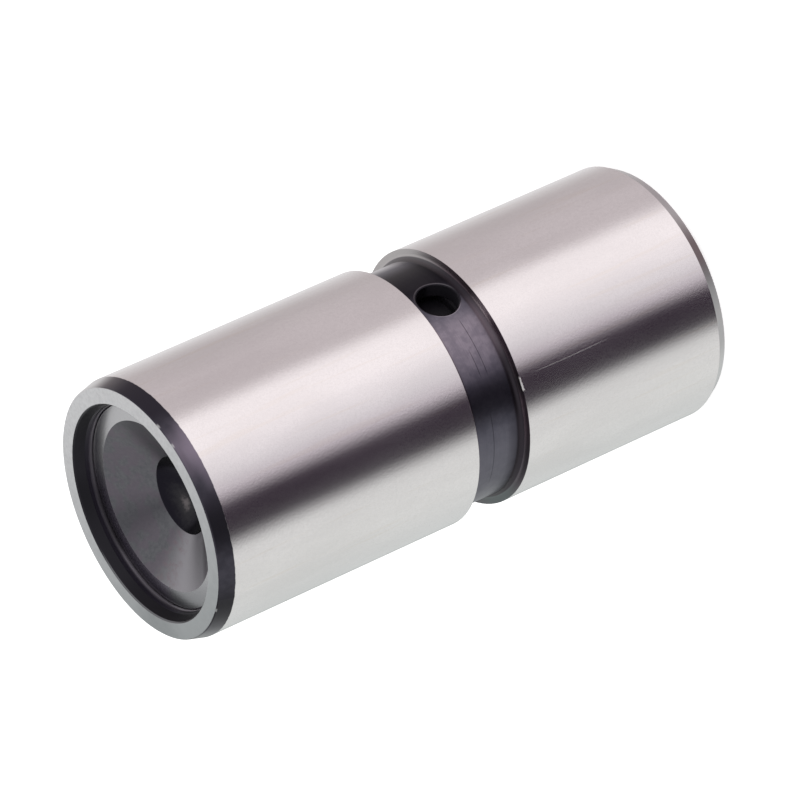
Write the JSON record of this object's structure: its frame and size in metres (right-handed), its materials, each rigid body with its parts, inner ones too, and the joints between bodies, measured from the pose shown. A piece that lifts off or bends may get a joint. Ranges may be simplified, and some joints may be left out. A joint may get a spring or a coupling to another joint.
{
  "type": "hydraulic tappet",
  "caption": "Hydraulic valve tappet: ground steel body with an oil groove and oil hole, sprung plunger with a check valve, dished push rod seat and retaining ring.",
  "frame": {"origin": "centre of the cam face, which the tappet stands on", "axes": "+Z along the tappet's axis towards the push rod end, -Y through the oil hole"},
  "size_m": [0.0222, 0.0222, 0.051],
  "materials": {
    "body_steel": "ground satin on both lands, matt end face, black oxide on the taper, oil groove and bore",
    "ring_wire": "drawn spring wire, dark and oiled",
    "plunger_spring_wire": "drawn spring wire, ends ground flat",
    "plunger_steel": "fine ground outside, turned inside",
    "seat_steel": "turned rim and dish, dark hardened socket",
    "disc_steel": "pressed and deburred",
    "retainer_sheet": "pressed sheet",
    "ball_spring_wire": "fine drawn wire",
    "ball_steel": "polished bearing ball"
  },
  "bodies": {
    "tappet_body": {"tappet_body": "body_steel", "retaining_ring": "ring_wire", "plunger_spring": "plunger_spring_wire"},
    "plunger": {"plunger": "plunger_steel", "push_rod_seat": "seat_steel", "metering_disc": "disc_steel", "ball_retainer": "retainer_sheet", "check_ball_spring": "ball_spring_wire"},
    "check_ball": {"check_ball": "ball_steel"}
  },
  "joints": [
    {"name": "plunger_slide", "type": "slide", "parent": "tappet_body", "child": "plunger", "axis": [0, 0, 1], "range_m": [-0.004, 0], "stiffness_N_per_m": 1200, "springref_m": 0.006, "deforming": ["plunger_spring"]},
    {"name": "check_ball_lift", "type": "slide", "parent": "plunger", "child": "check_ball", "axis": [0, 0, 1], "range_m": [-0.0006, 0], "stiffness_N_per_m": 100, "springref_m": 0.001, "deforming": ["check_ball_spring"]}
  ]
}
